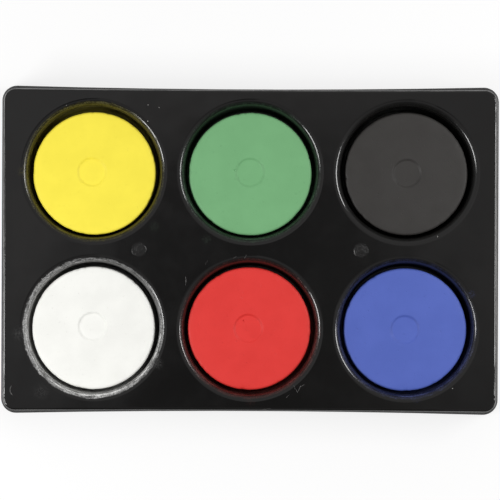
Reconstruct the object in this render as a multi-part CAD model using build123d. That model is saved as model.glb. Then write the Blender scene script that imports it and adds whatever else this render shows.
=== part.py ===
from build123d import *
import math
import os

# Watercolour paint set: a black injection-moulded tray with six round wells,
# each holding one loose block of pressed watercolour paint. The tray is one
# moulding. It is written as a shell, which is its deck, skirt and well rims, and
# six cups, which carry on below the rims and meet them face to face.
# Millimetres. The origin is on the table under the tray's middle, +Z is up,
# +X runs along the tray and +Y to the row that the photograph shows at the top.

# Paint blocks, all of one pressing
BLOCK_DIAMETER = 57.0
BLOCK_HEIGHT = 19.0
BLOCK_CROWN = 0.35        # rise of the top face from its edge to its middle
BLOCK_TOP_ROUND = 1.1     # rounding of the upper edge
BLOCK_FOOT_ROUND = 0.9    # rounding of the lower edge
DIMPLE_DIAMETER = 13.2    # round mark that the press leaves in the top face
DIMPLE_DEPTH = 0.45
DIMPLE_SLOPE = 0.5        # run of the dimple's sloping wall
DIMPLE_ROUND = 0.25

# Wells
WELL_CLEARANCE = 1.45     # gap round a centred block at the well's floor
WELL_DRAFT = 2.0          # degrees that the well's wall leans out
WELL_FLOOR_ROUND = 1.0
WELL_RIM_ROUND = 3.5
RIM_LAND = 0.15           # straight wall between a rim's rounding and the cup below it
BLOCK_SINK = 2.4          # depth of a block's top below the deck
WEB = 4.4                 # flat deck left between two rims
COLUMNS = 3
ROWS = 2

# Tray
WALL = 1.6                # skirt and cups
DECK_THICKNESS = 2.2
FLOOR_THICKNESS = 1.6
CUP_LIFT = 0.5            # the tray stands on its skirt, with the cups this far off the table
CUP_FOOT_ROUND = 1.5
END_BORDER = 7.75         # flat deck between a rim and the tray's short side
SIDE_BORDER = 4.25        # flat deck between a rim and the tray's long side
SKIRT_FLARE = 2.8         # how far the skirt leans out from the deck to the table
DECK_CORNER = 5.5
SKIRT_CORNER = 7.0
DECK_BOW = 0.4            # how far the long sides draw in at their middle, at the deck
SKIRT_BOW = 1.5           # and at the table
DECK_EDGE_ROUND = 1.2

# Two moulding gates on the tray's long centre line
GATE_OFFSET = 51.5
GATE_DIAMETER = 6.2
GATE_DEPTH = 0.4
GATE_NUB_DIAMETER = 2.8
GATE_NUB_HEIGHT = 0.3
GATE_ROUND = 0.2          # rounding of the recess's edge and the nub's

# Where each block lies loose in its well: colour, column, row, and its shift
# from the well's centre along X and Y as a share of the clearance
BLOCKS = [
    ("yellow", 0, 1, 0.08, -0.58),
    ("green", 1, 1, -0.03, -0.58),
    ("black", 2, 1, -0.06, -0.34),
    ("white", 0, 0, 0.01, -0.10),
    ("red", 1, 0, -0.17, -0.09),
    ("blue", 2, 0, -0.27, -0.24),
]

# Worked out from the sizes above
block_radius = BLOCK_DIAMETER / 2
floor_top = CUP_LIFT + FLOOR_THICKNESS
well_depth = BLOCK_HEIGHT + BLOCK_SINK
deck_top = floor_top + well_depth
cup_top = deck_top - max(DECK_THICKNESS, WELL_RIM_ROUND + RIM_LAND)
well_floor_radius = block_radius + WELL_CLEARANCE
draft_tangent = math.tan(math.radians(WELL_DRAFT))
well_top_radius = well_floor_radius + well_depth * draft_tangent
rim_reach = WELL_RIM_ROUND / math.tan(math.radians(45 + WELL_DRAFT / 2))
mouth_radius = well_top_radius + rim_reach
pitch = 2 * mouth_radius + WEB
deck_length = (COLUMNS - 1) * pitch + 2 * (mouth_radius + END_BORDER)
deck_width = (ROWS - 1) * pitch + 2 * (mouth_radius + SIDE_BORDER)
gate_round = min(GATE_ROUND, GATE_DEPTH / 2, GATE_NUB_HEIGHT / 2)
CUT_MARGIN = 2.0          # how far a cutting tool runs past the face that it opens


def well_centre(column, row):
    """The place of a well's axis on the deck."""
    return (
        (column - (COLUMNS - 1) / 2) * pitch,
        (row - (ROWS - 1) / 2) * pitch,
    )


def bowed_outline(length, width, corner, bow, height):
    """A rounded rectangle whose long sides draw in by bow at their middle."""
    x = length / 2
    y = width / 2
    sides = [
        ThreePointArc((-x, -y), (0, -y + bow), (x, -y)),
        Line((x, -y), (x, y)),
        ThreePointArc((x, y), (0, y - bow), (-x, y)),
        Line((-x, y), (-x, -y)),
    ]
    outline = make_face(sides)
    outline = fillet(outline.vertices(), corner)
    return Pos(0, 0, height) * outline


def skirt_block(inset, drop):
    """The tray's outer form, solid, drawn in by inset and lowered by drop at its top."""
    base = bowed_outline(
        deck_length + 2 * SKIRT_FLARE - 2 * inset,
        deck_width + 2 * SKIRT_FLARE - 2 * inset,
        SKIRT_CORNER - inset,
        SKIRT_BOW,
        0,
    )
    top = bowed_outline(
        deck_length - 2 * inset,
        deck_width - 2 * inset,
        DECK_CORNER - inset,
        DECK_BOW,
        deck_top - drop,
    )
    return loft([base, top], ruled=True)


def edges_at(shape, height, radius):
    """The round edges of a shape at one height and radius."""
    return [
        edge
        for edge in shape.edges().filter_by(GeomType.CIRCLE)
        if abs(edge.center().Z - height) < 0.01 and abs(edge.radius - radius) < 0.01
    ]


def well_cutter():
    """The room inside a well, which runs on past the deck."""
    top_radius = well_top_radius + CUT_MARGIN * draft_tangent
    room = Cone(
        well_floor_radius,
        top_radius,
        well_depth + CUT_MARGIN,
        align=(Align.CENTER, Align.CENTER, Align.MIN),
    )
    room = fillet(edges_at(room, 0, well_floor_radius), WELL_FLOOR_ROUND)
    return Pos(0, 0, floor_top) * room


def cup_radius(height):
    """The outside radius of a cup's wall at one height."""
    return well_floor_radius + WALL + (height - floor_top) * draft_tangent


def cup_outside(low, high):
    """The outer form of a cup between two heights, solid, on the origin's axis."""
    body = Cone(
        cup_radius(low),
        cup_radius(high),
        high - low,
        align=(Align.CENTER, Align.CENTER, Align.MIN),
    )
    return Pos(0, 0, low) * body


def make_cup():
    """The cup of a well on the origin's axis, from its foot to the rim above it."""
    body = cup_outside(CUP_LIFT, cup_top)
    body = fillet(edges_at(body, CUP_LIFT, cup_radius(CUP_LIFT)), CUP_FOOT_ROUND)
    return body - well_cutter()


def gate_cutter():
    """The shallow round recess at a moulding gate, which leaves its nub standing."""
    recess = Cylinder(
        GATE_DIAMETER / 2,
        GATE_DEPTH + CUT_MARGIN,
        align=(Align.CENTER, Align.CENTER, Align.MIN),
    )
    nub = Cylinder(
        GATE_NUB_DIAMETER / 2,
        GATE_NUB_HEIGHT,
        align=(Align.CENTER, Align.CENTER, Align.MIN),
    )
    nub = fillet(edges_at(nub, GATE_NUB_HEIGHT, GATE_NUB_DIAMETER / 2), gate_round)
    return Pos(0, 0, deck_top - GATE_DEPTH) * (recess - nub)


def make_shell():
    """Deck and flared skirt, with the wells' rims and two gate marks."""
    outer = skirt_block(0, 0)
    deck_edges = outer.edges().filter_by_position(
        Axis.Z, deck_top - 0.01, deck_top + 0.01
    )
    outer = fillet(deck_edges, DECK_EDGE_ROUND)
    shell = outer - skirt_block(WALL, DECK_THICKNESS)
    for row in range(ROWS):
        for column in range(COLUMNS):
            x, y = well_centre(column, row)
            shell += Pos(x, y, 0) * cup_outside(cup_top, deck_top - DECK_THICKNESS / 2)
            shell -= Pos(x, y, 0) * well_cutter()
    shell = fillet(edges_at(shell, deck_top, well_top_radius), WELL_RIM_ROUND)
    for side in (-1, 1):
        shell -= Pos(side * GATE_OFFSET, 0, 0) * gate_cutter()
    return fillet(edges_at(shell, deck_top, GATE_DIAMETER / 2), gate_round)


def make_block():
    """One paint block, standing on its foot at the origin: its half section, turned."""
    shoulder = BLOCK_HEIGHT - BLOCK_CROWN
    sphere_radius = (block_radius**2 + BLOCK_CROWN**2) / (2 * BLOCK_CROWN)

    def crown_point(radius):
        drop = sphere_radius - math.sqrt(sphere_radius**2 - radius**2)
        return (radius, BLOCK_HEIGHT - drop)

    foot = (block_radius, 0)
    top_edge = (block_radius, shoulder)
    dimple_rim = crown_point(DIMPLE_DIAMETER / 2)
    dimple_floor = dimple_rim[1] - DIMPLE_DEPTH
    dimple_foot = (DIMPLE_DIAMETER / 2 - DIMPLE_SLOPE, dimple_floor)
    mid_crown = crown_point((block_radius + DIMPLE_DIAMETER / 2) / 2)
    section = make_face(
        [
            Line((0, 0), foot),
            Line(foot, top_edge),
            ThreePointArc(top_edge, mid_crown, dimple_rim),
            Line(dimple_rim, dimple_foot),
            Line(dimple_foot, (0, dimple_floor)),
            Line((0, dimple_floor), (0, 0)),
        ]
    )
    for corner, radius in [
        (foot, BLOCK_FOOT_ROUND),
        (top_edge, BLOCK_TOP_ROUND),
        (dimple_rim, DIMPLE_ROUND),
        (dimple_foot, DIMPLE_ROUND),
    ]:
        section = fillet(section.vertices().sort_by_distance(corner)[0], radius)
    return revolve(Plane.XZ * section, Axis.Z)


os.makedirs("parts", exist_ok=True)
export_step(make_shell(), "parts/tray_shell.step")
cup = make_cup()
block = make_block()
for colour, column, row, share_x, share_y in BLOCKS:
    x, y = well_centre(column, row)
    export_step(Pos(x, y, 0) * cup, f"parts/tray_cup_{colour}.step")
    # The block lies loose on its well's floor
    block_x = x + share_x * WELL_CLEARANCE
    block_y = y + share_y * WELL_CLEARANCE
    export_step(Pos(block_x, block_y, floor_top) * block, f"parts/paint_block_{colour}.step")
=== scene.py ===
"""The looks of a watercolour paint set: a gloss black tray with six loose blocks of pressed paint.

Everything is in metres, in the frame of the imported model: +X along the tray, +Y to the row with the
yellow, green and black blocks, +Z up, with the origin on the table under the tray's middle. The
comments call +Y north.

A named ramp is (from, to) or (from, to, result at from, result at to), for Shader.ramp.
"""

import math
import random

import bmesh
import bpy
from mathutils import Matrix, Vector, noise


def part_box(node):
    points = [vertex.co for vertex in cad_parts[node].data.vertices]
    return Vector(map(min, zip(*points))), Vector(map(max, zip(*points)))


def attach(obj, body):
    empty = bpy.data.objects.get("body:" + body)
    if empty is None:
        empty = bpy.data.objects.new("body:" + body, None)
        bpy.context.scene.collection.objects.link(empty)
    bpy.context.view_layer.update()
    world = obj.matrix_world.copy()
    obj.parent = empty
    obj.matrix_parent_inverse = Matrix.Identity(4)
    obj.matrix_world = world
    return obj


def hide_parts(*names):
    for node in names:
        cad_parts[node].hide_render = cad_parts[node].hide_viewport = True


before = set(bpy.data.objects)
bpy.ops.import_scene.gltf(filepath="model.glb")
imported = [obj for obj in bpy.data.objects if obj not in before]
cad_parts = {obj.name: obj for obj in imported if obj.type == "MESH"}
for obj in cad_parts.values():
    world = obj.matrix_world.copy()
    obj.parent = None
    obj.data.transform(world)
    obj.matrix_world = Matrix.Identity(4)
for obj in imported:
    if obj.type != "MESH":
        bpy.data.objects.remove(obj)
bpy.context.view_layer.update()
MM = 0.001
DECK_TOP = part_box("tray_shell")[1].z

# The photograph: straight down on the tray, which lies a quarter of a degree askew in the picture
CAMERA_ABOVE_DECK = 1.3
PIXEL_AT_DECK = 0.4637 * MM
PICTURE_SIDE = 500
PICTURE_CENTRE = 249.5        # pixels, across and down
TRAY_BELOW_CENTRE = 0.25      # pixels by which the tray's middle lies under the picture's
PICTURE_ROLL = math.radians(0.25)
SENSOR_WIDTH = 36.0

# Each colour's paint, its dimple's place on the block in mm, and the dust that it leaves on its well:
# the dust's colour, which also colours painted light in the well, how thick it lies, and the direction
# in degrees in which it lies thickest
PAINTS = {
    "yellow": {
        "colour": (0.95, 0.81, 0.064),
        "dimple": (-1.2, 0.5),
        "dust": (0.30, 0.27, 0.050),
        "thickness": 0.29,
        "thickest": 120,
    },
    "green": {
        "colour": (0.168, 0.410, 0.184),
        "dimple": (-0.1, 0.6),
        "dust": (0.10, 0.21, 0.12),
        "thickness": 0.20,
        "thickest": 260,
    },
    "black": {
        "colour": (0.032, 0.030, 0.028),
        "dimple": (0.3, 0.2),
        "dust": (0.030, 0.032, 0.029),
        "thickness": 0.12,
        "thickest": 95,
    },
    "white": {
        "colour": (0.885, 0.89, 0.85),
        "dimple": (-0.5, 0.7),
        "dust": (0.78, 0.78, 0.77),
        "thickness": 0.85,
        "thickest": 225,
    },
    "red": {
        "colour": (0.71, 0.034, 0.028),
        "dimple": (-0.4, 0.0),
        "dust": (0.30, 0.070, 0.060),
        "thickness": 0.24,
        "thickest": 280,
    },
    "blue": {
        "colour": (0.078, 0.125, 0.47),
        "dimple": (0.0, 0.0),
        "dust": (0.085, 0.105, 0.29),
        "thickness": 0.26,
        "thickest": 255,
    },
}

# Smudges of dust on the deck beside the wells: colour, place in the photograph, radius in mm, thickness
SMUDGES = [
    ("white", (19, 333), 4.5, 0.04),
    ("white", (157, 363), 3.5, 0.06),
    ("white", (41, 391), 5.0, 0.03),
    ("green", (154, 226), 3.4, 0.05),
    ("green", (206, 239), 3.0, 0.06),
    ("blue", (416, 397), 3.4, 0.12),
    ("blue", (471, 294), 2.6, 0.16),
    ("yellow", (22, 171), 3.2, 0.10),
    ("red", (250, 400), 3.6, 0.04),
]

# Scratches on the deck, and pale torn burrs at its gates that paint the gates' glints, as runs of
# points in the photograph
SCRATCHES_AND_GLINTS = [
    [(293, 385), (297, 392), (300, 386), (304, 384)],
    [(286, 397), (289, 394)],
    [(244, 258), (246, 254)],
    [(233, 258), (236, 256)],
    [(205, 264), (207, 260)],
    [(185, 276), (185.5, 280), (185, 285)],
    [(262, 409), (270, 408)],
    [(11.3, 385.0), (9.7, 387.5), (9.5, 390.5), (10.8, 393.3), (12.6, 395.0)],
    [(16.2, 332.4), (22.6, 332.6)],
    # the last four runs, at the gates, are pale burrs that paint the gates' glints
    [(131.6, 249.3), (131.6, 250.9)],
    [(143.6, 245.2), (145.0, 246.4), (145.3, 247.6)],
    [(353.8, 248.6), (353.9, 251.4), (355.6, 255.2)],
    [(367.3, 248.4), (367.6, 250.0)],
]
SCRATCH_WIDTH = 0.17 * MM
SCRATCH_HEIGHT = 0.03 * MM
SCRATCH_END = 0.3             # share of its width that a scratch keeps at its ends
# pale like a scratch, and a painted glint at the gates
SCRATCH_AND_GLINT_COLOUR = (0.22, 0.215, 0.21)
SCRATCH_ROUGHNESS = 0.5

# Light crumbs of dust on the deck, in the photograph
CRUMBS = [
    (65.8, 104.8),
    (147.6, 104.4),
    (158.7, 107.0),
    (147.3, 120.7),
    (41.5, 278.5),
    (437, 236),
    (452, 388),
]
CRUMB_RADIUS = (0.16, 0.26)   # mm, least and most
CRUMB_UNEVEN = 0.35           # how far a crumb's radius varies
CRUMB_LUMPS = 9000            # and how closely, in lumps per metre
CRUMB_SPREAD = 1000           # keeps the crumbs' noise apart, by their places
CRUMB_FLATTENED = 0.55
CRUMB_RISE = 0.25             # share of its radius by which a crumb's middle clears the deck
CRUMB_COLOUR = (0.62, 0.61, 0.58)
CRUMB_ROUGHNESS = 0.8

# Broken tones of the scratches and crumbs
MARK_TONE_SIZE = 0.8 * MM
MARK_TONES = (0.3, 0.7, 0.45, 1.0)

# Small pits in the blocks' tops: colour, place in the photograph
PINHOLES = [("green", (234.2, 169.3)), ("red", (243.3, 320.1))]
PINHOLE_RADIUS = 0.55 * MM
PINHOLE_DEPTH = 0.5 * MM
PINHOLE_FLOOR = 0.3           # its floor's share of its radius


def from_picture(across, down, below_deck=0.0):
    """The place (x, y) of a pixel of the photograph, on a plane that lies below the deck by so much."""
    pixel = PIXEL_AT_DECK * (CAMERA_ABOVE_DECK + below_deck) / CAMERA_ABOVE_DECK
    u = (across - PICTURE_CENTRE) * pixel
    v = (PICTURE_CENTRE - down) * pixel
    x = u * math.cos(PICTURE_ROLL) - v * math.sin(PICTURE_ROLL)
    y = u * math.sin(PICTURE_ROLL) + v * math.cos(PICTURE_ROLL)
    return x, y + TRAY_BELOW_CENTRE * PIXEL_AT_DECK


def well_centre(colour):
    """The axis of a well, which is its cup's middle."""
    low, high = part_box(f"tray_cup_{colour}")
    return (low.x + high.x) / 2, (low.y + high.y) / 2


# Materials' trees

NOISE_SHIFT = (1.0, -0.7, 0.4)     # the direction in which a shift moves the noise


class Shader:
    """A node tree of a material or of the world, with short ways to add to it."""

    def __init__(self, owner, output):
        owner.use_nodes = True
        self.owner = owner
        self.tree = owner.node_tree
        self.tree.nodes.clear()
        self.output = self.add(output)

    def add(self, kind, **settings):
        node = self.tree.nodes.new(kind)
        for name, value in settings.items():
            setattr(node, name, value)
        return node

    def feed(self, socket, value):
        """Links a socket, or sets a constant on it."""
        if isinstance(value, bpy.types.NodeSocket):
            self.tree.links.new(value, socket)
        elif isinstance(value, tuple) and len(value) == 3 and len(socket.default_value) == 4:
            socket.default_value = (*value, 1.0)
        else:
            socket.default_value = value

    def feed_all(self, node, values):
        """Feeds a node's first inputs, and gives its first output."""
        for socket, value in zip(node.inputs, values):
            self.feed(socket, value)
        return node.outputs[0]

    def math(self, operation, *values, clamp=False):
        node = self.add("ShaderNodeMath", operation=operation, use_clamp=clamp)
        return self.feed_all(node, values)

    def ramp(self, value, low, high, to_low=0.0, to_high=1.0, kind="SMOOTHSTEP"):
        """Goes from to_low to to_high while value goes from low to high."""
        node = self.add("ShaderNodeMapRange", interpolation_type=kind)
        return self.feed_all(node, (value, low, high, to_low, to_high))

    def vector(self, x, y, z):
        return self.feed_all(self.add("ShaderNodeCombineXYZ"), (x, y, z))

    def split(self, vector):
        node = self.add("ShaderNodeSeparateXYZ")
        self.feed(node.inputs[0], vector)
        return node.outputs

    def offset(self, x, y, centre_x, centre_y):
        """How far a place lies from an axis, along X and Y."""
        return self.math("SUBTRACT", x, centre_x), self.math("SUBTRACT", y, centre_y)

    def length(self, x, y):
        squares = self.math("ADD", self.math("MULTIPLY", x, x), self.math("MULTIPLY", y, y))
        return self.math("SQRT", squares)

    def noise(self, vector, size=1.0, detail=2.0, roughness=0.5, shift=0.0):
        """Noise whose lumps are about size across, about 0.5 on average."""
        mapping = self.add("ShaderNodeMapping")
        self.feed(mapping.inputs["Vector"], vector)
        mapping.inputs["Location"].default_value = tuple(shift * part for part in NOISE_SHIFT)
        node = self.add("ShaderNodeTexNoise")
        self.feed(node.inputs["Vector"], mapping.outputs[0])
        node.inputs["Scale"].default_value = 1 / size
        node.inputs["Detail"].default_value = detail
        node.inputs["Roughness"].default_value = roughness
        return node.outputs["Fac"]

    def uneven(self, *place, **settings):
        """Noise about 0."""
        return self.math("SUBTRACT", self.noise(*place, **settings), 0.5)

    def mix_colour(self, factor, first, second):
        node = self.add("ShaderNodeMix", data_type="RGBA")
        self.feed(node.inputs["Factor"], factor)
        self.feed(node.inputs[6], first)
        self.feed(node.inputs[7], second)
        return node.outputs[2]

    def bump(self, height, distance, normal=None):
        node = self.add("ShaderNodeBump")
        node.inputs["Strength"].default_value = 1.0
        node.inputs["Distance"].default_value = distance
        self.feed(node.inputs["Height"], height)
        if normal is not None:
            self.feed(node.inputs["Normal"], normal)
        return node.outputs["Normal"]

    def principled(self, distribution="MULTI_GGX", **inputs):
        """Ends a material's tree in a Principled BSDF."""
        surface = self.add("ShaderNodeBsdfPrincipled", distribution=distribution)
        for name, value in inputs.items():
            self.feed(surface.inputs[name.replace("_", " ")], value)
        self.feed(self.output.inputs["Surface"], surface.outputs[0])
        return self.owner


def material_shader(name):
    """A new material's tree, and its place coordinates."""
    shader = Shader(bpy.data.materials.new(name), "ShaderNodeOutputMaterial")
    return shader, shader.add("ShaderNodeTexCoord").outputs["Object"]


def set_material(obj, material):
    """Gives an object one material in place of its own."""
    if not obj.material_slots:
        obj.data.materials.append(material)
    for slot in obj.material_slots:
        slot.material = material


def add_mesh(name, mesh):
    """Makes a smooth-shaded object of a finished bmesh."""
    for face in mesh.faces:
        face.smooth = True
    data = bpy.data.meshes.new(name)
    mesh.to_mesh(data)
    mesh.free()
    obj = bpy.data.objects.new(name, data)
    bpy.context.scene.collection.objects.link(obj)
    return obj


# Paint blocks

BLOCK_TURNS = 320             # steps round a block's mesh
TOP_RINGS = 110               # rings of its top face
TOP_ROUND_STEPS = 12
SIDE_STEPS = 12
FOOT_ROUND_STEPS = 6
FOOT_RINGS = 12
BLOCK_TOP_ROUND = 1.1 * MM
BLOCK_FOOT_ROUND = 0.9 * MM
BLOCK_CROWN = 0.35 * MM
EDGE_DROP = 0.16 * MM         # how far the top rolls off near its edge
EDGE_ROLL = 4.0 * MM          # width of that roll
TOP_UNEVEN = 0.04 * MM        # how uneven the press leaves the top
TOP_LUMPS = 90                # and how closely, in lumps per metre
NOISE_SPREAD = 50             # keeps the blocks' noise apart

DIMPLE_RADIUS = 7.1 * MM
DIMPLE_SLOPE = 1.4 * MM
DIMPLE_DEPTH = 0.72 * MM      # in its middle
DIMPLE_TILT = 0.22            # share by which it is deeper at its north edge and shallower at its south
DIMPLE_UNEVEN = 0.15 * MM     # how uneven its outline is
DIMPLE_LUMPS = 260

# The block's edge, which crumbles and chips: how far inside its side that begins and is full
EDGE_BEGINS = 2.4 * MM
EDGE_FULL = 0.4 * MM
CRUMBLE_DEPTH = 0.04 * MM
CRUMBLE_LUMPS = 140
CHIP_COUNT = (14, 22)
CHIP_WIDTH = (0.010, 0.045)   # radians
CHIP_DEPTH = (0.04, 0.22)     # mm
CHIP_REACH = 3                # widths from its middle at which a chip ends
CHIPS_BEGIN = 4.0 * MM        # how far below the top the chips begin and are full
CHIPS_FULL = 1.2 * MM
CHIP_DROP = 0.6               # how far a chip lowers the edge, as a share of how far it shrinks it

# Its paint. Noise is shifted by so much from one colour to the next
PAINT_SHIFT = 0.31
CLOUD_SIZE = 12 * MM
CLOUDS = (0.30, 0.70)
CLOUD_DARK = 0.975            # the clouds' two shades, as shares of the colour
CLOUD_LIGHT = 1.02
CLOUD_PALER = 0.003           # and what the lighter one has besides
GRAIN_SIZE = 0.5 * MM
GRAIN_HEIGHT = 0.030 * MM
DARK_GRAINS = (0.62, 0.76, 0.0, 0.22)
DARK_GRAIN_SHADE = 0.82
PIT_SIZE = 1.1 * MM
PITS = (0.70, 0.78)
PIT_DEPTH = 0.08 * MM
PAINT_PATCH_SIZE = 5 * MM
PAINT_ROUGHNESS = (0.3, 0.7, 0.50, 0.62)
PAINT_SPECULAR = 0.32


def smooth_step(value, low, high):
    t = min(max((value - low) / (high - low), 0.0), 1.0)
    return t * t * (3 - 2 * t)


def block_outline(radius, height):
    """The half section of a block without its dimple, from the top's middle to the foot's.

    Each point is (radius, height).
    """
    points = []
    flat = radius - BLOCK_TOP_ROUND
    shoulder = height - BLOCK_CROWN
    for ring in range(1, TOP_RINGS + 1):
        r = flat * ring / TOP_RINGS
        points.append((r, height - BLOCK_CROWN * (r / flat) ** 2))
    for step in range(1, TOP_ROUND_STEPS + 1):
        a = math.radians(90 - 90 / TOP_ROUND_STEPS * step)
        r = flat + BLOCK_TOP_ROUND * math.cos(a)
        points.append((r, shoulder - BLOCK_TOP_ROUND * (1 - math.sin(a))))
    low = BLOCK_FOOT_ROUND
    high = shoulder - BLOCK_TOP_ROUND
    for step in range(1, SIDE_STEPS):
        points.append((radius, high + (low - high) * step / SIDE_STEPS))
    for step in range(FOOT_ROUND_STEPS + 1):
        a = math.radians(90 / FOOT_ROUND_STEPS * step)
        r = radius - BLOCK_FOOT_ROUND * (1 - math.cos(a))
        points.append((r, BLOCK_FOOT_ROUND * (1 - math.sin(a))))
    for ring in range(1, FOOT_RINGS):
        points.append(((radius - BLOCK_FOOT_ROUND) * (1 - ring / FOOT_RINGS), 0.0))
    return points


def make_block(colour):
    """A paint block's mesh, standing where its node stands."""
    low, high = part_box(f"paint_block_{colour}")
    centre = Vector(((low.x + high.x) / 2, (low.y + high.y) / 2, low.z))
    radius = (high.x - low.x) / 2
    height = high.z - low.z
    rng = random.Random(f"block {colour}")
    seed = Vector([rng.uniform(-NOISE_SPREAD, NOISE_SPREAD) for _ in range(3)])
    dimple = Vector(PAINTS[colour]["dimple"]) * MM
    chips = [
        (rng.uniform(0, math.tau), rng.uniform(*CHIP_WIDTH), rng.uniform(*CHIP_DEPTH) * MM)
        for _ in range(rng.randint(*CHIP_COUNT))
    ]
    below_deck = DECK_TOP - high.z
    pinholes = [from_picture(*place, below_deck) for owner, place in PINHOLES if owner == colour]
    mesh = bmesh.new()

    def lumps(place, closeness):
        return noise.noise(Vector(place) * closeness + seed)

    def shaped(r, z, angle):
        """A point of the outline, with the dimple, the press's unevenness and the edge's chips."""
        x, y = r * math.cos(angle), r * math.sin(angle)
        if z > height / 2:
            away = math.hypot(x - dimple.x, y - dimple.y)
            away += DIMPLE_UNEVEN * lumps((x, y, 0), DIMPLE_LUMPS)
            inside = 1 - smooth_step(away, DIMPLE_RADIUS - DIMPLE_SLOPE, DIMPLE_RADIUS)
            z -= DIMPLE_DEPTH * inside * (1 + DIMPLE_TILT * (y - dimple.y) / DIMPLE_RADIUS)
            z += TOP_UNEVEN * (lumps((x, y, 0), TOP_LUMPS) - 1)
            z -= EDGE_DROP * smooth_step(r, radius - EDGE_ROLL, radius) ** 2
            for hole_x, hole_y in pinholes:
                away = math.hypot(centre.x + x - hole_x, centre.y + y - hole_y)
                z -= PINHOLE_DEPTH * (
                    1 - smooth_step(away, PINHOLE_FLOOR * PINHOLE_RADIUS, PINHOLE_RADIUS)
                )
        edge = smooth_step(r, radius - EDGE_BEGINS, radius - EDGE_FULL)
        if edge > 0 and z > BLOCK_FOOT_ROUND:
            shrink = CRUMBLE_DEPTH * (0.5 + lumps((x, y, z), CRUMBLE_LUMPS))
            near_top = smooth_step(z, height - CHIPS_BEGIN, height - CHIPS_FULL)
            for at, width, depth in chips:
                turn = (angle - at + math.pi) % math.tau - math.pi
                if abs(turn) < CHIP_REACH * width:
                    shrink += depth * near_top * math.exp(-((turn / width) ** 2))
            x *= 1 - edge * shrink / radius
            y *= 1 - edge * shrink / radius
            z -= edge * near_top * CHIP_DROP * shrink
        return centre + Vector((x, y, z))

    top = mesh.verts.new(shaped(0.0, height, 0.0))
    foot = mesh.verts.new(centre)
    angles = [math.tau * i / BLOCK_TURNS for i in range(BLOCK_TURNS)]
    rings = [
        [mesh.verts.new(shaped(r, z, angle)) for angle in angles]
        for r, z in block_outline(radius, height)
    ]
    for i in range(BLOCK_TURNS):
        j = (i + 1) % BLOCK_TURNS
        mesh.faces.new((top, rings[0][i], rings[0][j]))
        mesh.faces.new((foot, rings[-1][j], rings[-1][i]))
        for inner, outer in zip(rings, rings[1:]):
            mesh.faces.new((inner[i], outer[i], outer[j], inner[j]))
    return add_mesh(f"pressed_block_{colour}", mesh)


def paint_material(colour):
    """Pressed, chalky paint: a fine grain, faint clouds of density and tiny pits."""
    s, place = material_shader(f"paint_{colour}")
    base = PAINTS[colour]["colour"]
    shift = PAINT_SHIFT * (list(PAINTS).index(colour) + 1)
    clouds = s.ramp(s.noise(place, CLOUD_SIZE, detail=3.0, shift=shift), *CLOUDS)
    darker = tuple(CLOUD_DARK * c for c in base)
    lighter = tuple(min(1.0, CLOUD_LIGHT * c + CLOUD_PALER) for c in base)
    body = s.mix_colour(clouds, darker, lighter)
    grain = s.noise(place, GRAIN_SIZE, detail=3.0, roughness=0.7, shift=shift)
    dark_grain = tuple(DARK_GRAIN_SHADE * c for c in base)
    body = s.mix_colour(s.ramp(grain, *DARK_GRAINS), body, dark_grain)
    pits = s.ramp(s.noise(place, PIT_SIZE, detail=1.0, shift=-shift), *PITS)
    normal = s.bump(grain, GRAIN_HEIGHT)
    normal = s.bump(s.math("MULTIPLY", pits, -1.0), PIT_DEPTH, normal)
    rough = s.ramp(s.noise(place, PAINT_PATCH_SIZE, detail=2.0, shift=shift), *PAINT_ROUGHNESS)
    return s.principled(
        Base_Color=body,
        Roughness=rough,
        Normal=normal,
        Specular_IOR_Level=PAINT_SPECULAR,
    )


# Tray

PLASTIC = (0.0031, 0.0029, 0.0028)
GLOSS = 0.085                 # roughness where the plastic is glossiest
HAZE_SIZE = 16 * MM
HAZE = (0.35, 0.70, GLOSS, 0.13)
WAVE_SIZE = 34 * MM           # waves of the moulded surface
WAVE_HEIGHT = 0.22 * MM

# Dust in the wells, with a painted highlight and a painted reflection mixed in. Side is the cosine of
# the angle from the direction in which it lies thickest
DUST_DULLS = (0.0, 0.25, GLOSS, 0.6)    # roughness by how thick dust lies
DUST_SHIFT = 3.7              # noise is shifted by so much from one colour to the next
DUST_BEGINS = 33.0 * MM       # radius from a well's axis at which dust begins
DUST_FULL = 32.2 * MM         # and at which it lies full
RAGGED_SIZE = 3 * MM
RAGGED_OUTSIDE = 1.6 * MM     # how ragged the dust's outer bound and the band's foot are
RAGGED_FOOT = 3 * MM
BAND_FOOT = (-0.9, 0.1, 1.2 * MM, 12.0 * MM)    # how far down the band of dust reaches, by side
BAND_FADE = (-0.9 * MM, 0.9 * MM, 1.0, 0.0)
BAND_AMOUNT = (-1.0, 0.6, 0.55, 1.0)    # by side
BAND_FULLER = (1.5 * MM, 6.0 * MM, 1.0, 2.6)    # how much more dust lies lower down
COAT_AND_REFLECTION = (-0.5, 0.3, 0.12, 0.85)          # how thick a coat of dust covers the wall below the band, by side; it also paints the block's reflection
STREAK_LENGTH = 5 * MM
STREAK_WIDTH = 0.45 * MM
STREAK_CLIMB = 0.5            # how much the height counts against the radius across the streaks
STREAKS = (0.38, 0.62, 0.22, 1.0)
DUST_GRAIN_SIZE = 0.6 * MM
DUST_GRAINS = (0.38, 0.62, 0.25, 1.0)
LIP_DUST_AND_SHEEN_DOWN = 1.4 * MM           # how far down the rim a line of dust and painted highlight lies
LIP_DUST_AND_SHEEN = (0.1 * MM, 0.6 * MM, 2.2, 0.0)    # and how much more of it there is, by the distance from there
LIP_DUST_AND_SHEEN_PATCH_SIZE = 14 * MM
LIP_DUST_AND_SHEEN_PATCHES = (0.42, 0.60)
LIP_DUST_AND_SHEEN_NORTHWARDS = (-0.8, 0.3, 1.0, 0.25)         # less of it to the north

# Smudges beside the wells
SMUDGE_CORE = 0.2             # share of its radius in which a smudge is fullest
BLOTCH_SIZE = 0.9 * MM
BLOTCHES = (0.40, 0.70)

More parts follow.
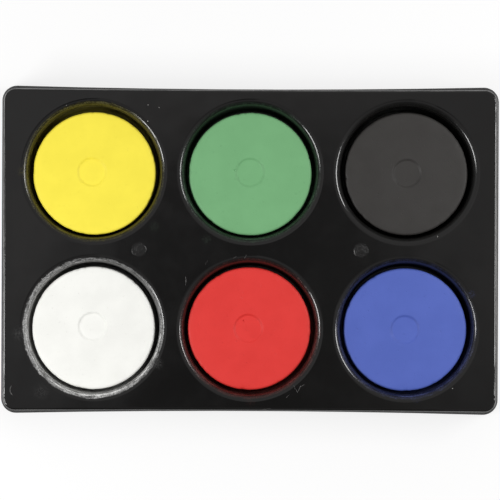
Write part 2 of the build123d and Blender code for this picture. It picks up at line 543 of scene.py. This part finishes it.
# The two gates
GATE_OFFSET = 51.5 * MM
GATE_RADIUS = 3.1 * MM
GATE_BLUR = 0.3 * MM
GATE_ROUGHNESS = 0.12
TORN_SIZE = 0.8 * MM
TORN_HEIGHT = 0.35 * MM

# The skirt, which lies beyond these from the tray's middle, and below the deck's rounded edge
SIDE_X = 113.0 * MM
SIDE_Y = 72.6 * MM
SIDE_BLUR = 0.5 * MM
SKIRT_FULL = 1.7 * MM         # how far below the deck its own polish is full, and begins
SKIRT_BEGINS = 1.0 * MM
SHORT_SIDE_ROUGHNESS = 0.80   # against 1 on the long sides

# A painted highlight along the deck's rounded edge, between two depths below the deck
EDGE_HIGHLIGHT_BEGINS = (0.20 * MM, 0.36 * MM)
EDGE_HIGHLIGHT_ENDS = (0.50 * MM, 0.75 * MM, 1.0, 0.0)
EDGE_HIGHLIGHT_NORTH = 0.24
EDGE_HIGHLIGHT_SHORT_SIDES = 0.50
EDGE_HIGHLIGHT_TURNS = 1 * MM           # how far before and past SIDE_X the one passes into the other
# the painted highlight's pale colour
EDGE_HIGHLIGHT_COLOUR = (0.52, 0.51, 0.50)
EDGE_HIGHLIGHT_BREAK_SIZE = 6 * MM
EDGE_HIGHLIGHT_BREAK_SHIFT = 1.3
EDGE_HIGHLIGHT_BREAKS = (0.35, 0.60, 0.45, 1.0)


def well_dust_and_painted_light(s, place, colour):
    """How thick a colour's dust lies in its well, with a painted highlight and a painted reflection
    mixed in.

    It is a streaked band on the rim and the upper wall, with a line of dust and painted highlight near
    the lip, over a thin coat on the wall below that also paints the block's reflection.
    """
    x, y, z = s.split(place)
    dx, dy = s.offset(x, y, *well_centre(colour))
    r = s.length(dx, dy)
    down = s.math("SUBTRACT", DECK_TOP, z)
    shift = DUST_SHIFT * (list(PAINTS).index(colour) + 1)
    turn = math.radians(PAINTS[colour]["thickest"])
    side = s.math(
        "ADD",
        s.math("MULTIPLY", dx, math.cos(turn)),
        s.math("MULTIPLY", dy, math.sin(turn)),
    )
    side = s.math("DIVIDE", side, r)

    # Where it lies at all, and where the band ends
    ragged = s.uneven(place, RAGGED_SIZE, detail=3.0, roughness=0.65, shift=shift)
    outward = s.math("SUBTRACT", r, s.math("MULTIPLY", ragged, RAGGED_OUTSIDE))
    zone = s.ramp(outward, DUST_FULL, DUST_BEGINS, 1.0, 0.0)
    below = s.math("SUBTRACT", down, s.ramp(side, *BAND_FOOT))
    below = s.math("ADD", below, s.math("MULTIPLY", ragged, RAGGED_FOOT))
    band = s.ramp(below, *BAND_FADE)

    # Streaks along the rim, and grains
    along = s.vector(
        s.math("DIVIDE", dx, STREAK_LENGTH),
        s.math("DIVIDE", dy, STREAK_LENGTH),
        s.math("DIVIDE", s.math("ADD", r, s.math("MULTIPLY", z, STREAK_CLIMB)), STREAK_WIDTH),
    )
    streaks = s.ramp(s.noise(along, detail=4.0, roughness=0.65, shift=shift), *STREAKS)
    grain = s.noise(place, DUST_GRAIN_SIZE, detail=3.0, roughness=0.7, shift=shift)
    grain = s.ramp(grain, *DUST_GRAINS)

    # A line near the lip, partly dust and partly a painted highlight
    lip_dust_and_sheen = s.ramp(s.math("ABSOLUTE", s.math("SUBTRACT", down, LIP_DUST_AND_SHEEN_DOWN)), *LIP_DUST_AND_SHEEN)
    patches = s.ramp(s.noise(place, LIP_DUST_AND_SHEEN_PATCH_SIZE, detail=2.0, shift=-shift), *LIP_DUST_AND_SHEEN_PATCHES)
    lip_dust_and_sheen = s.math("MULTIPLY", lip_dust_and_sheen, patches)
    lip_dust_and_sheen = s.math("MULTIPLY", lip_dust_and_sheen, s.ramp(s.math("DIVIDE", dy, r), *LIP_DUST_AND_SHEEN_NORTHWARDS))

    amount = s.math("MULTIPLY", s.ramp(side, *BAND_AMOUNT), PAINTS[colour]["thickness"])
    rim = s.math("MULTIPLY", s.math("MULTIPLY", streaks, grain), amount)
    fuller = s.ramp(down, *BAND_FULLER)
    rim = s.math("MULTIPLY", rim, s.math("ADD", fuller, lip_dust_and_sheen), clamp=True)
    # A coat of dust on the lower wall, which also paints the block's reflection in the gloss
    coat_and_reflection = s.math("MULTIPLY", s.ramp(side, *COAT_AND_REFLECTION), s.math("SUBTRACT", 1.0, band))
    dust = s.math("ADD", s.math("MULTIPLY", rim, band), coat_and_reflection)
    return s.math("MULTIPLY", dust, zone, clamp=True)


def smudge_dust(s, place, spot, radius, thickness):
    """How thick dust lies in a soft, blotchy smudge on the deck."""
    x, y, _ = s.split(place)
    away = s.length(*s.offset(x, y, *from_picture(*spot)))
    blotch = s.ramp(s.noise(place, BLOTCH_SIZE, detail=4.0, roughness=0.75), *BLOTCHES)
    soft = s.ramp(away, SMUDGE_CORE * radius, radius, thickness, 0.0)
    return s.math("MULTIPLY", soft, blotch)


def tray_material(name, colours, smudges):
    """Gloss black polystyrene, a little wavy from the mould and dulled by dust, with a painted
    highlight on the deck's rounded edge and painted light in the wells.
    """
    s, place = material_shader(name)
    x, y, z = s.split(place)
    body = PLASTIC
    rough = s.ramp(s.noise(place, HAZE_SIZE, detail=4.0, roughness=0.6), *HAZE)
    dusts_and_painted_light = [(colour, well_dust_and_painted_light(s, place, colour)) for colour in colours]
    dusts_and_painted_light += [
        (colour, smudge_dust(s, place, spot, radius * MM, thickness))
        for colour, spot, radius, thickness in smudges
    ]
    # each is dust, and in the wells also a painted highlight and a painted reflection
    for colour, dust in dusts_and_painted_light:
        body = s.mix_colour(dust, body, PAINTS[colour]["dust"])
        rough = s.math("MAXIMUM", rough, s.ramp(dust, *DUST_DULLS, kind="LINEAR"))

    # The gates: pitted round marks
    from_gate = s.math("SUBTRACT", s.math("ABSOLUTE", x), GATE_OFFSET)
    gate = s.ramp(s.length(from_gate, y), GATE_RADIUS, GATE_RADIUS + GATE_BLUR, 1.0, 0.0)
    torn = s.noise(place, TORN_SIZE, detail=2.0, roughness=0.6)

    # The skirt comes less polished from the mould, and least along its long sides
    short_side = s.ramp(s.math("ABSOLUTE", x), SIDE_X, SIDE_X + SIDE_BLUR)
    long_side = s.ramp(s.math("ABSOLUTE", y), SIDE_Y, SIDE_Y + SIDE_BLUR)
    matt = s.math("MAXIMUM", s.math("MULTIPLY", short_side, SHORT_SIDE_ROUGHNESS), long_side)
    lower = s.ramp(z, DECK_TOP - SKIRT_FULL, DECK_TOP - SKIRT_BEGINS, 1.0, 0.0)
    skirt = s.math("MULTIPLY", matt, lower)

    # A painted highlight on the rounded edge, in a pale broken colour: most at the short sides, some to
    # the north, none to the south
    down = s.math("SUBTRACT", DECK_TOP, z)
    edge = s.math("MULTIPLY", s.ramp(down, *EDGE_HIGHLIGHT_BEGINS), s.ramp(down, *EDGE_HIGHLIGHT_ENDS))
    edge = s.math("MULTIPLY", edge, s.math("MAXIMUM", short_side, long_side))
    highlight_breaks = s.noise(place, EDGE_HIGHLIGHT_BREAK_SIZE, detail=5.0, roughness=0.7, shift=EDGE_HIGHLIGHT_BREAK_SHIFT)
    highlight_breaks = s.ramp(highlight_breaks, *EDGE_HIGHLIGHT_BREAKS)
    north = s.ramp(y, -SIDE_Y, SIDE_Y, 0.0, EDGE_HIGHLIGHT_NORTH)
    highlight_strength = s.ramp(
        s.math("ABSOLUTE", x), SIDE_X - EDGE_HIGHLIGHT_TURNS, SIDE_X + EDGE_HIGHLIGHT_TURNS, north, EDGE_HIGHLIGHT_SHORT_SIDES
    )
    painted_highlight = s.math("MULTIPLY", s.math("MULTIPLY", edge, highlight_breaks), highlight_strength)
    body = s.mix_colour(painted_highlight, body, EDGE_HIGHLIGHT_COLOUR)

    normal = s.bump(s.noise(place, WAVE_SIZE, detail=1.5), WAVE_HEIGHT)
    normal = s.bump(s.math("MULTIPLY", torn, gate), TORN_HEIGHT, normal)
    rough = s.math("MAXIMUM", rough, s.math("MULTIPLY", gate, GATE_ROUGHNESS))
    rough = s.math("MAXIMUM", rough, skirt)
    return s.principled("GGX", Base_Color=body, Roughness=rough, Normal=normal)


def mark_material(name, colour, rough):
    """Scuffed plastic, with painted glints at the gates, or a crumb of dust: a broken, pale tone."""
    s, place = material_shader(name)
    tone = s.ramp(s.noise(place, MARK_TONE_SIZE, detail=3.0), *MARK_TONES)
    body = s.mix_colour(tone, PLASTIC, colour)
    return s.principled(Base_Color=body, Roughness=rough)


def make_scratches_and_glints():
    """Thin raised burrs of scuffed plastic along each scratch, tapering to its ends; at the gates these
    pale burrs are painted glints.
    """
    mesh = bmesh.new()
    for run in SCRATCHES_AND_GLINTS:
        points = [Vector((*from_picture(*place), DECK_TOP)) for place in run]
        left, right, ridge = [], [], []
        for i, point in enumerate(points):
            along = points[min(i + 1, len(points) - 1)] - points[max(i - 1, 0)]
            across = Vector((-along.y, along.x, 0)).normalized() * SCRATCH_WIDTH / 2
            if i in (0, len(points) - 1):
                across *= SCRATCH_END
            left.append(mesh.verts.new(point + across))
            right.append(mesh.verts.new(point - across))
            ridge.append(mesh.verts.new(point + Vector((0, 0, SCRATCH_HEIGHT))))
        for i in range(len(points) - 1):
            mesh.faces.new((left[i], left[i + 1], ridge[i + 1], ridge[i]))
            mesh.faces.new((ridge[i], ridge[i + 1], right[i + 1], right[i]))
    return add_mesh("deck_scratches_and_glints", mesh)


def make_crumbs():
    """Crumbs of dust: small uneven lumps on the deck."""
    mesh = bmesh.new()
    rng = random.Random("specks")
    for place in CRUMBS:
        x, y = from_picture(*place)
        radius = rng.uniform(*CRUMB_RADIUS) * MM
        lump = bmesh.ops.create_icosphere(mesh, subdivisions=2, radius=radius)["verts"]
        for vert in lump:
            spot = vert.co * CRUMB_LUMPS + Vector((x, y, 0)) * CRUMB_SPREAD
            vert.co *= 1 + CRUMB_UNEVEN * noise.noise(spot)
            vert.co.z *= CRUMB_FLATTENED
            vert.co += Vector((x, y, DECK_TOP + CRUMB_RISE * radius))
    return add_mesh("deck_specks", mesh)


# Stage

TABLE_SIZE = 12.0
TABLE_DROP = 0.05 * MM        # keeps the table clear of the tray's foot
TABLE_CLOUD_SIZE = 0.3
TABLE_TONES = ((0.955, 0.955, 0.955), (0.975, 0.975, 0.975))
TABLE_PLAIN = 0.75            # share of plain white in what is seen of the table

# Lamps: name, place and radiance. Each faces the origin
LAMP_SIZE = (0.30, 0.10)
LAMPS = [
    ("left_lamp", (-0.46, -0.15, 0.40), 21.2),
    ("right_lamp", (0.46, 0.08, 0.40), 17.0),
]

# The surroundings near the zenith. Their places are those on the deck that show them from above
LEAST_UP = 0.05               # a direction's height counts as no less than this
CEILING_CLOUD_SIZE = 0.028
CEILING_ALONG = (-0.085, -0.035, 0.36, 0.60)
CEILING_ACROSS = (-0.10, 0.13, 1.04, 0.78)
CEILING_FADE = (0.24, 0.52, 1.0, 0.0)
CEILING_LOWEST = (0.6, 0.7)
SHAPE_ACROSS = 0.001          # the dark shape's middle
SHAPE_HALF_WIDTH = (0.005, 0.068, 0.073, 0.036)
SHAPE_UNEVEN = 0.030
SHAPE_SIDES = (-0.010, 0.012, 1.0, 0.0)
SHAPE_END = (0.046, 0.062, 1.0, 0.0)
SHAPE_LEVEL = 0.13
SHAPE_CLOUDS = 0.45

# And further from it
AROUND_NORTHWARDS = (-0.85, -0.15, 0.12, 0.56)
AROUND_UPWARDS = (0.05, 0.5, 0.35, 1.0)
TINT_SIZE = 0.05
TINT_SHIFT = 0.7
TINT_PATCHES = (0.3, 0.7)
TINTS = ((1.0, 0.955, 0.935), (0.97, 0.985, 1.0))


def make_world():
    """Dim surroundings, with a paler ceiling that a dark camera and its stand hide in part."""
    world = bpy.context.scene.world or bpy.data.worlds.new("surroundings")
    bpy.context.scene.world = world
    s = Shader(world, "ShaderNodeOutputWorld")
    x, y, z = s.split(s.add("ShaderNodeTexCoord").outputs["Generated"])
    up = s.math("MAXIMUM", z, LEAST_UP)
    across = s.math("MULTIPLY", s.math("DIVIDE", x, up), CAMERA_ABOVE_DECK)
    along = s.math("MULTIPLY", s.math("DIVIDE", y, up), CAMERA_ABOVE_DECK)
    place = s.vector(across, along, 0.0)
    cloud = s.uneven(place, CEILING_CLOUD_SIZE, detail=3.0, roughness=0.6)

    # The dark shape: widening to the south, with a straight north end
    half_width = s.ramp(along, *SHAPE_HALF_WIDTH, kind="LINEAR")
    edge = s.math("ABSOLUTE", s.math("SUBTRACT", across, SHAPE_ACROSS))
    edge = s.math("SUBTRACT", edge, half_width)
    edge = s.math("ADD", edge, s.math("MULTIPLY", cloud, SHAPE_UNEVEN))
    end = s.math("ADD", along, s.math("MULTIPLY", cloud, SHAPE_UNEVEN))
    shape = s.math("MULTIPLY", s.ramp(edge, *SHAPE_SIDES), s.ramp(end, *SHAPE_END))
    dark = s.math("ADD", s.math("MULTIPLY", cloud, SHAPE_CLOUDS), SHAPE_LEVEL)

    # The ceiling
    ceiling = s.math("MULTIPLY", s.ramp(along, *CEILING_ALONG), s.ramp(across, *CEILING_ACROSS))
    ceiling = s.math("MULTIPLY", ceiling, s.math("SUBTRACT", 1.0, shape))
    level = s.math("ADD", ceiling, s.math("MULTIPLY", dark, shape))
    near = s.math("MAXIMUM", s.math("ABSOLUTE", across), s.math("ABSOLUTE", along))
    seen = s.math("MULTIPLY", s.ramp(near, *CEILING_FADE), s.ramp(z, *CEILING_LOWEST))

    # Further from the zenith: paler to the north, dark to the south, and darker low down
    around = s.math("MULTIPLY", s.ramp(y, *AROUND_NORTHWARDS), s.ramp(z, *AROUND_UPWARDS))
    around = s.math("MULTIPLY", s.math("SUBTRACT", 1.0, seen), around)
    level = s.math("ADD", s.math("MULTIPLY", level, seen), around)
    patches = s.ramp(s.noise(place, TINT_SIZE, shift=TINT_SHIFT), *TINT_PATCHES)
    background = s.add("ShaderNodeBackground")
    s.feed(background.inputs["Color"], s.mix_colour(patches, *TINTS))
    s.feed(background.inputs["Strength"], level)
    s.feed(s.output.inputs["Surface"], background.outputs[0])


def make_table():
    """A white table.

    Most of what the camera, gloss and glass see of it is plain white, which softens the shadow.
    """
    bpy.ops.mesh.primitive_plane_add(size=TABLE_SIZE, location=(0.0, 0.0, -TABLE_DROP))
    table = bpy.context.object
    table.name = "table"
    s, place = material_shader("table_white")
    paper = s.add("ShaderNodeBsdfDiffuse")
    s.feed(paper.inputs["Color"], s.mix_colour(s.noise(place, TABLE_CLOUD_SIZE), *TABLE_TONES))
    white = s.add("ShaderNodeEmission")
    rays = s.add("ShaderNodeLightPath").outputs
    seen = s.math("MAXIMUM", rays["Is Camera Ray"], rays["Is Glossy Ray"])
    seen = s.math("MAXIMUM", seen, rays["Is Transmission Ray"])
    share = s.math("MULTIPLY", seen, TABLE_PLAIN)
    mix = s.add("ShaderNodeMixShader")
    mixed = s.feed_all(mix, (share, paper.outputs[0], white.outputs[0]))
    s.feed(s.output.inputs["Surface"], mixed)
    set_material(table, s.owner)


def make_lamps():
    """Two soft rectangular lamps close by, at the left and the right."""
    for name, at, radiance in LAMPS:
        light = bpy.data.lights.new(name, "AREA")
        light.shape = "RECTANGLE"
        light.size, light.size_y = LAMP_SIZE
        light.energy = radiance * math.pi * LAMP_SIZE[0] * LAMP_SIZE[1]
        lamp = bpy.data.objects.new(name, light)
        lamp.location = at
        lamp.rotation_euler = (-Vector(at)).to_track_quat("-Z", "Y").to_euler()
        bpy.context.scene.collection.objects.link(lamp)


def make_camera():
    """The photograph's camera, straight above the tray."""
    data = bpy.data.cameras.new("camera")
    data.sensor_width = SENSOR_WIDTH
    data.lens = SENSOR_WIDTH * CAMERA_ABOVE_DECK / (PICTURE_SIDE * PIXEL_AT_DECK)
    camera = bpy.data.objects.new("camera", data)
    camera.location = (0.0, TRAY_BELOW_CENTRE * PIXEL_AT_DECK, DECK_TOP + CAMERA_ABOVE_DECK)
    camera.rotation_euler = (0.0, 0.0, PICTURE_ROLL)
    bpy.context.scene.collection.objects.link(camera)
    bpy.context.scene.camera = camera


make_camera()
make_table()
make_world()
make_lamps()
bpy.context.scene.view_settings.view_transform = "Standard"

set_material(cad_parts["tray_shell"], tray_material("tray_plastic", list(PAINTS), SMUDGES))
for colour in PAINTS:
    cup_material = tray_material(f"tray_cup_{colour}", [colour], [])
    set_material(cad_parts[f"tray_cup_{colour}"], cup_material)
    block = make_block(colour)
    set_material(block, paint_material(colour))
    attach(block, f"{colour}_block")
    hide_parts(f"paint_block_{colour}")

scratches_and_glints = make_scratches_and_glints()
set_material(scratches_and_glints, mark_material("scuffed_plastic_and_glints", SCRATCH_AND_GLINT_COLOUR, SCRATCH_ROUGHNESS))
crumbs = make_crumbs()
set_material(crumbs, mark_material("dust_crumbs", CRUMB_COLOUR, CRUMB_ROUGHNESS))
for piece in (scratches_and_glints, crumbs):
    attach(piece, "tray")
